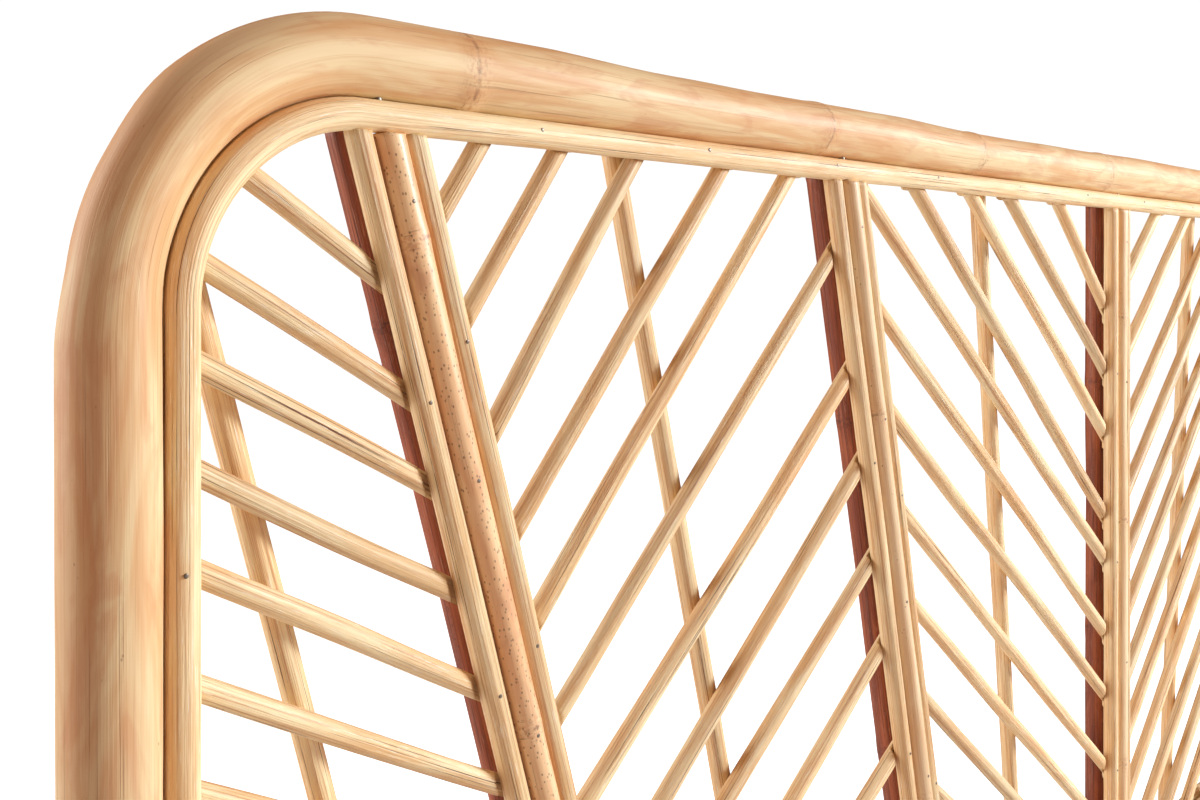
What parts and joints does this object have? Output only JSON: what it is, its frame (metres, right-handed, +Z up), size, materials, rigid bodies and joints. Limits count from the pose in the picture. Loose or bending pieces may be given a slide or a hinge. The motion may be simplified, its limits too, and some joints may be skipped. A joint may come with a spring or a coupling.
{
  "type": "rattan headboard",
  "caption": "Wide bed headboard of bent rattan: a thick arched pole on two legs, fanned ribs and chevron canes between them.",
  "frame": {"origin": "on the floor under the centre rib, half way between the frontmost and rearmost poles", "axes": "+X along the width to the right as seen from the front, +Y from the front to the back (wall) side, +Z up"},
  "size_m": [1.855, 0.041, 1.15],
  "materials": {
    "outer_cane": "thick rattan pole, lightly sanded, clear matt lacquer",
    "border_cane": "peeled rattan pole, clear matt lacquer",
    "peeled_cane": "peeled rattan, clear matt lacquer",
    "skin_cane": "rattan with its skin scraped, fine dark flecks",
    "back_cane": "darker rattan, clear matt lacquer",
    "steel": "bright brads and screws",
    "glide_plastic": "dark moulded plastic"
  },
  "bodies": {
    "root": {"outer_frame_pole": "outer_cane", "bottom_rail": "outer_cane", "front_border_pole": "border_cane", "back_border_pole": "border_cane", "lower_front_border_pole": "border_cane", "lower_back_border_pole": "border_cane", "rib_1_left_pole": "peeled_cane", "rib_1_core_pole": "skin_cane", "rib_1_right_pole": "peeled_cane", "rib_1_back_pole": "back_cane", "rib_2_left_pole": "peeled_cane", "rib_2_core_pole": "skin_cane", "rib_2_right_pole": "peeled_cane", "rib_2_back_pole": "back_cane", "rib_3_left_pole": "peeled_cane", "rib_3_core_pole": "skin_cane", "rib_3_right_pole": "peeled_cane", "rib_3_back_pole": "back_cane", "rib_4_left_pole": "peeled_cane", "rib_4_core_pole": "skin_cane", "rib_4_right_pole": "peeled_cane", "rib_4_back_pole": "back_cane", "rib_5_left_pole": "peeled_cane", "rib_5_core_pole": "skin_cane", "rib_5_right_pole": "peeled_cane", "rib_5_back_pole": "back_cane", "mid_pole_1": "back_cane", "mid_pole_2": "back_cane", "mid_pole_3": "back_cane", "mid_pole_4": "back_cane", "mid_pole_5": "back_cane", "mid_pole_6": "back_cane", "canes_bay_1": "peeled_cane", "canes_bay_2": "peeled_cane", "canes_bay_3": "peeled_cane", "canes_bay_4": "peeled_cane", "canes_bay_5": "peeled_cane", "canes_bay_6": "peeled_cane", "rib_brads": "steel", "border_brads": "steel", "rail_screws": "steel", "rib_screws": "steel", "left_foot_glide": "glide_plastic", "right_foot_glide": "glide_plastic"}
  },
  "joints": []
}
